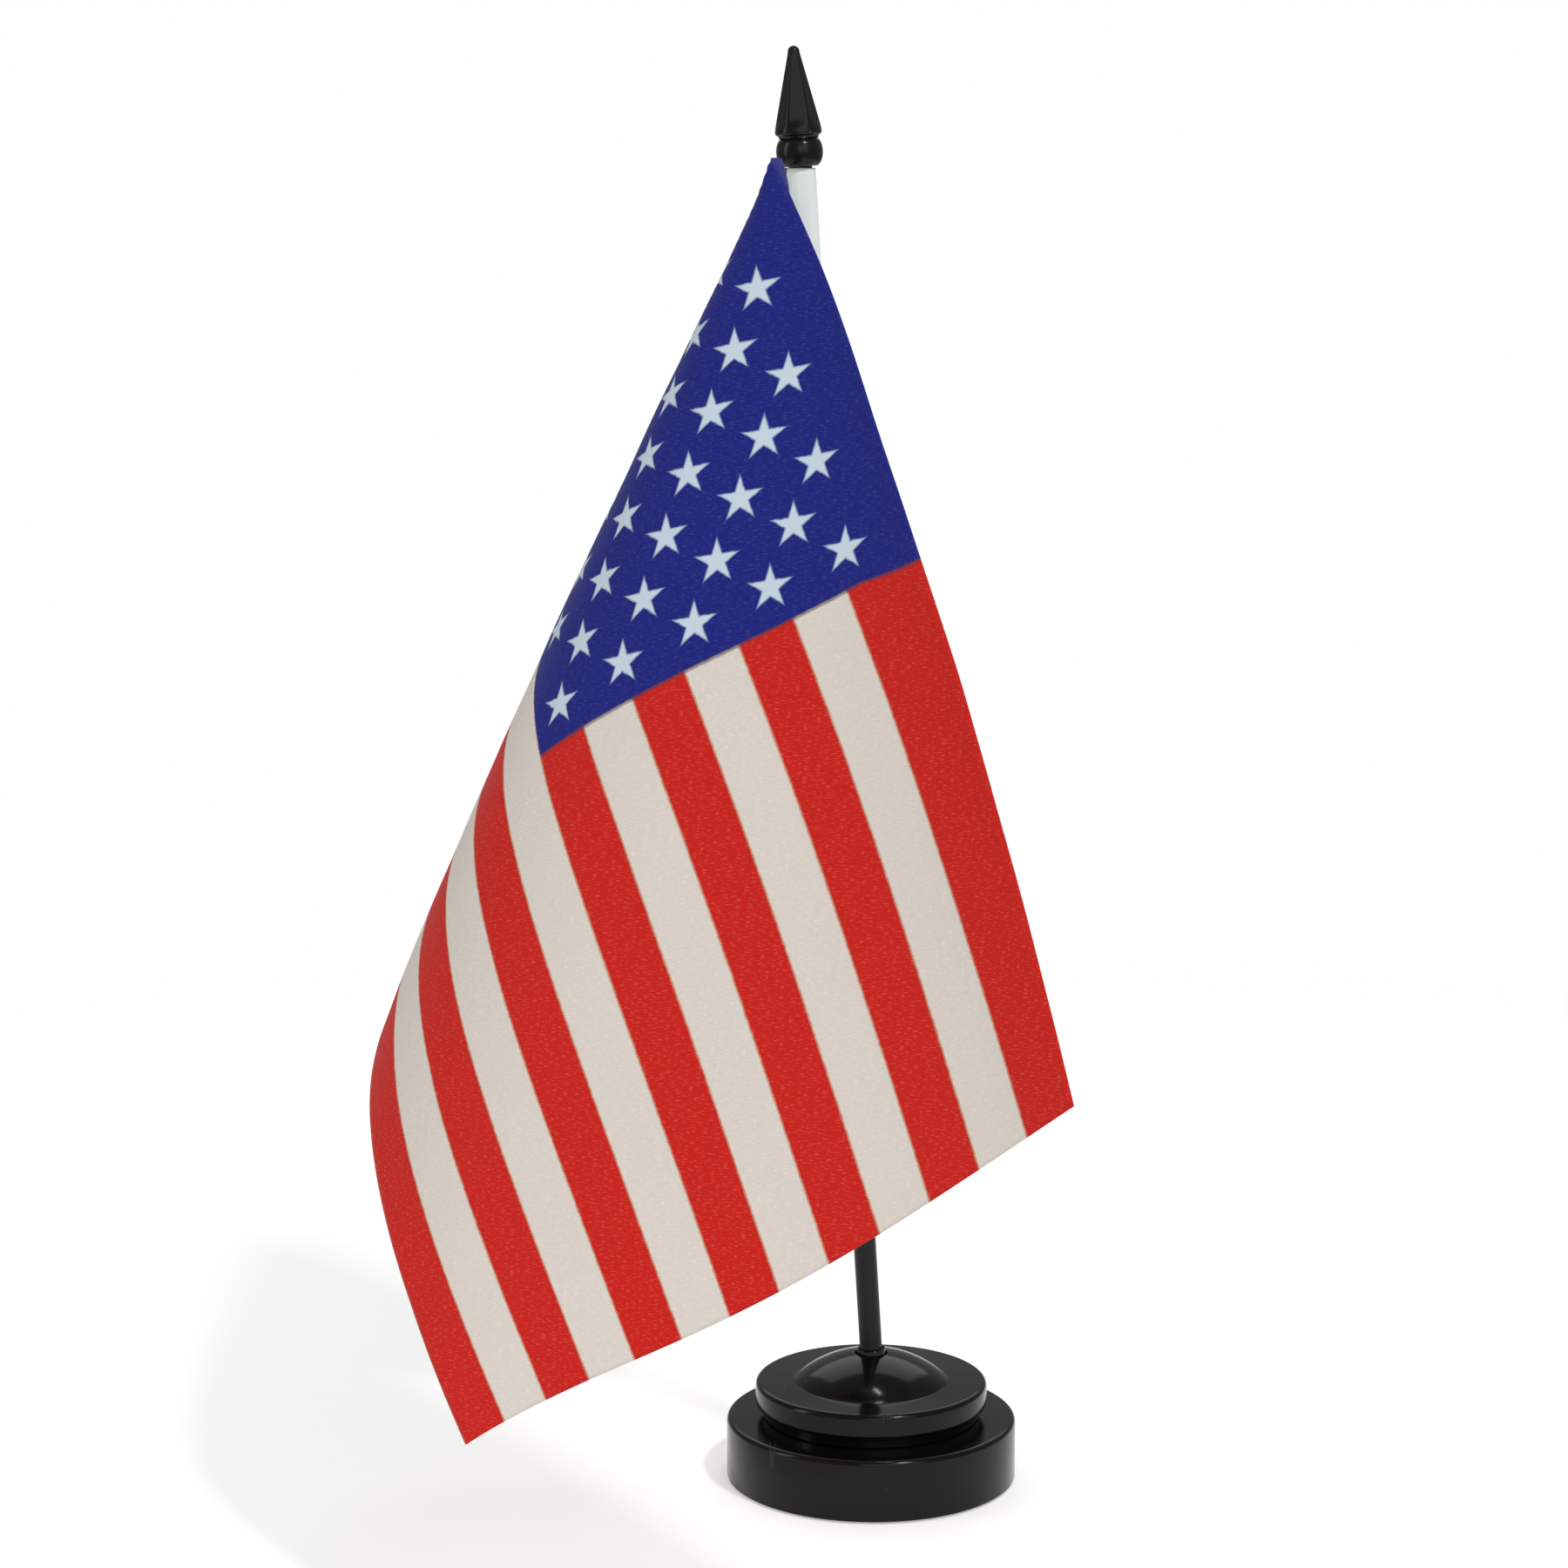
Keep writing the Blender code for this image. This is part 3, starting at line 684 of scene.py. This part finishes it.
def shoulder(along, down):
    """How far the cloth next to the fold's point is pushed out to the right."""
    start = min(max((along - 9 * MM) / (16 * MM), 0.0), 1.0)
    fade = math.exp(-(max(along - 38 * MM, 0.0) / (32 * MM)) ** 2)
    low = min(max(down / (70 * MM), 0.0), 1.0)
    return SHOULDER * start * start * (3 - 2 * start) * fade * (1 - low) ** 2


def rippled_point(along, down):
    """The cloth with the shallow ripples of real fabric, which die away at the hoist."""
    calm = min(along / (30 * MM), 1.0)
    wave = noise.noise(Vector((along * 22, down * 34, 0.3)))
    wave += 0.4 * noise.noise(Vector((along * 60, down * 75, 4.1)))
    pushed = cloth_point(along, down) + Vector((shoulder(along, down), 0, 0))
    return pushed + cloth_normal(along, down) * (RIPPLE * calm * wave)


def flat_layer(shape):
    """Writes each corner's flat place, in metres, to the piece's own map."""
    layer = shape.loops.layers.uv.new("flat_cloth")
    for face in shape.faces:
        for loop in face.loops:
            loop[layer].uv = loop.vert.co.xy
    return layer


def top_edge(along):
    return -TOP_MARGIN * (1 - (along / FLAG_FLY) ** 2)


def hung_flag(front, reverse):
    shape = bmesh.new()
    bmesh.ops.create_grid(shape, x_segments=168, y_segments=116, size=0.5)
    for vert in shape.verts:
        along = (vert.co.x + 0.5) * FLAG_FLY
        top = top_edge(along)
        vert.co = Vector((along, top + (0.5 - vert.co.y) * (FLAG_HOIST - top), 0))
    flat_layer(shape)
    for vert in shape.verts:
        vert.co = rippled_point(vert.co.x, vert.co.y)
    piece = finish_piece("printed_flag", shape, [front, reverse], 60)
    thick = piece.modifiers.new("Solidify", "SOLIDIFY")
    thick.thickness = CLOTH_THICKNESS
    thick.offset = 0.0
    thick.material_offset = 1
    return piece


def sleeve_section(across, below):
    """A point of the strip folded round the pole, from its share across and its distance below the top.

    The first and the last part of the strip lie on the flag's two faces, as the seam.
    """
    down = below - FLAG_DROP - TOP_MARGIN
    centre = pole_point(SLEEVE_TOP - below)
    seam = 0.16
    facing = cloth_normal(0.5 * MM, min(max(down, 0.0), FLAG_HOIST))
    if across < seam or across > 1 - seam:
        share = across / seam if across < seam else (1 - across) / seam
        along = SEAM_WIDTH * (1 - share)
        side = 1 if across < seam else -1
        return cloth_point(along, down) + facing * (side * SEAM_HALF)
    turn = (across - seam) / (1 - 2 * seam)
    hoist = HOIST_SIDE.normalized()
    start = math.atan2(hoist.y, hoist.x)
    angle = start - 0.3 - (math.tau - 0.6) * turn
    lift_off = max(0.0, 1 - turn / 0.16) ** 2 * (HOIST_OFFSET + SEAM_HALF - SLEEVE_RADIUS) * 0.85
    crinkle = noise.noise(Vector((2.2 * math.cos(angle), 2.2 * math.sin(angle), below * 75))) * 0.07 * MM
    flatten = 1.0 + 0.02 * math.cos(2 * (angle - start))
    reach = SLEEVE_RADIUS * flatten + crinkle + lift_off
    return centre + Vector((math.cos(angle), math.sin(angle), 0)) * reach


def sleeve(finish):
    shape = bmesh.new()
    bmesh.ops.create_grid(shape, x_segments=70, y_segments=110, size=0.5)
    for vert in shape.verts:
        vert.co = Vector(((vert.co.x + 0.5) * SLEEVE_STRIP, (0.5 - vert.co.y) * SLEEVE_LENGTH, 0))
    flat_layer(shape)
    for vert in shape.verts:
        vert.co = sleeve_section(vert.co.x / SLEEVE_STRIP, vert.co.y)
    piece = finish_piece("pole_sleeve", shape, [finish], 60)
    thick = piece.modifiers.new("Solidify", "SOLIDIFY")
    thick.thickness = SLEEVE_WALL
    thick.offset = -1.0
    return piece


def seam_stitches(finish):
    """Two rows of thread, one on each face of the seam."""
    shape = bmesh.new()
    count = int((SLEEVE_LENGTH - 3 * MM) / STITCH_PITCH)
    for side in (1, -1):
        for index in range(count):
            down = 2 * MM + STITCH_PITCH * index - TOP_MARGIN
            along = 0.62 * SEAM_WIDTH
            facing = cloth_normal(along, min(max(down, 0.0), FLAG_HOIST - 2 * MM))
            middle = cloth_point(along, down) + facing * (side * (SEAM_HALF + 0.04 * MM))
            ahead = (cloth_point(along, down + 1 * MM) - cloth_point(along, down - 1 * MM)).normalized()
            across = facing.cross(ahead).normalized()
            place = Matrix((across, facing, ahead)).transposed().to_4x4()
            place.translation = middle
            size = Matrix.Diagonal((0.17 * MM, 0.13 * MM, STITCH_LENGTH / 2, 1.0))
            bmesh.ops.create_uvsphere(shape, u_segments=8, v_segments=6, radius=1.0, matrix=place @ size)
    return finish_piece("seam_stitches", shape, [finish], 180)


# ---------------------------------------------------------------- studio
def soft_lamp(name, place, aim, size, power, colour=(1.0, 1.0, 1.0)):
    lamp = bpy.data.lights.new(name, "AREA")
    lamp.shape = "RECTANGLE"
    lamp.size, lamp.size_y = size
    lamp.energy = power
    lamp.color = colour
    holder = bpy.data.objects.new(name, lamp)
    holder.location = place
    holder.rotation_euler = (Vector(aim) - Vector(place)).to_track_quat("-Z", "Y").to_euler()
    bpy.context.scene.collection.objects.link(holder)


def studio():
    floor_shape = bmesh.new()
    bmesh.ops.create_circle(floor_shape, cap_ends=True, radius=0.45, segments=96)
    pale, tree, shader = new_finish("pale_floor", 0.9)
    grain = mottling(tree, object_place(tree), 3.0)
    paint = blend_colours(tree, grain, (0.90, 0.90, 0.90), (0.93, 0.93, 0.93))
    tree.links.new(paint, shader.inputs["Base Color"])
    shader.inputs["Specular IOR Level"].default_value = 0.1
    shader.inputs["Emission Color"].default_value = (1, 1, 1, 1)
    shader.inputs["Emission Strength"].default_value = 0.36
    floor = finish_piece("floor", floor_shape, [pale])

    soft_lamp("front_softbox", (0.45, -1.5, 0.75), (-0.02, 0, 0.14), (1.5, 1.2), 6.8)
    soft_lamp("back_softbox", (0.0, 1.25, 1.25), (0, 0, 0.1), (1.8, 1.1), 7)
    soft_lamp("right_lamp", (0.42, -0.60, 1.12), (0, 0, 0.03), (0.12, 0.07), 5.0)
    soft_lamp("ceiling_lamp", (0.13, 0.10, 1.5), (0, 0, 0.03), (0.20, 0.02), 0.9)
    soft_lamp("left_strip", (-1.1, -0.3, 0.5), (0, 0, 0.12), (0.25, 1.1), 3)

    world = bpy.data.worlds.new("white_studio")
    world.use_nodes = True
    bpy.context.scene.world = world
    nodes, links = world.node_tree.nodes, world.node_tree.links
    seen = nodes["Background"]
    seen.inputs["Color"].default_value = (1, 1, 1, 1)
    seen.inputs["Strength"].default_value = 1.0
    room = nodes.new("ShaderNodeBackground")
    room.inputs["Color"].default_value = (0.94, 1.0, 0.96, 1)
    room.inputs["Strength"].default_value = 0.30
    light_path = nodes.new("ShaderNodeLightPath")
    choice = nodes.new("ShaderNodeMixShader")
    links.new(light_path.outputs["Is Camera Ray"], choice.inputs[0])
    links.new(room.outputs[0], choice.inputs[1])
    links.new(seen.outputs[0], choice.inputs[2])
    links.new(choice.outputs[0], nodes["World Output"].inputs["Surface"])
    bpy.context.scene.view_settings.view_transform = "Standard"

    lens = bpy.data.cameras.new("camera")
    lens.lens = 89.6
    lens.sensor_width = 36.0
    lens.clip_start = 0.01
    camera = bpy.data.objects.new("camera", lens)
    camera.location = (-0.0172, -0.740, 0.2653)
    camera.rotation_euler = (math.radians(80.3), 0, 0)
    bpy.context.scene.collection.objects.link(camera)
    bpy.context.scene.camera = camera


def join(piece, body, slot, *nodes):
    """Hangs a piece on its body, in place of the plain ones."""
    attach(piece, body)
    if nodes:
        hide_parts(*nodes)


def main():
    base_black = gloss_plastic("polished_black_base")
    finial_black = gloss_plastic("polished_black_finial", 0.0065, 0.14, 0.3)
    rod_black = satin_plastic("satin_black_rod")
    sleeve_white = white_cloth("white_sleeve_cloth")
    thread = thread_finish("white_thread")
    front = printed_cloth("printed_front", 0.0)
    reverse = printed_cloth("printed_reverse", 0.05)

    join(lower_tier(base_black), "base", "gloss_black_plastic", "base_foot")
    join(upper_tier(base_black), "base", "gloss_black_plastic", "base_cap")
    join(socket(base_black), "base", "gloss_black_plastic", "pole_socket")
    join(rod(rod_black), "pole", "satin_black_plastic", "pole")
    join(spear(finial_black), "finial", "gloss_black_plastic", "finial")
    flag = hung_flag(front, reverse)
    join(flag, "flag", "printed_cloth", "flag")
    tube = sleeve(sleeve_white)
    join(tube, "flag", "white_cloth", "flag_sleeve")
    stitches = seam_stitches(thread)
    join(stitches, "flag", "white_cloth")

    hidden = {
        "ballast_ring": turned_steel("turned_steel_weight"),
        "bottom_cover": gloss_plastic("moulded_black_cover", 0.008, 0.3, 0.5),
        "foot_pad": felt("black_felt_pad"),
    }
    for node, finish in hidden.items():
        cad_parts[node].material_slots[0].material = finish
    studio()


main()
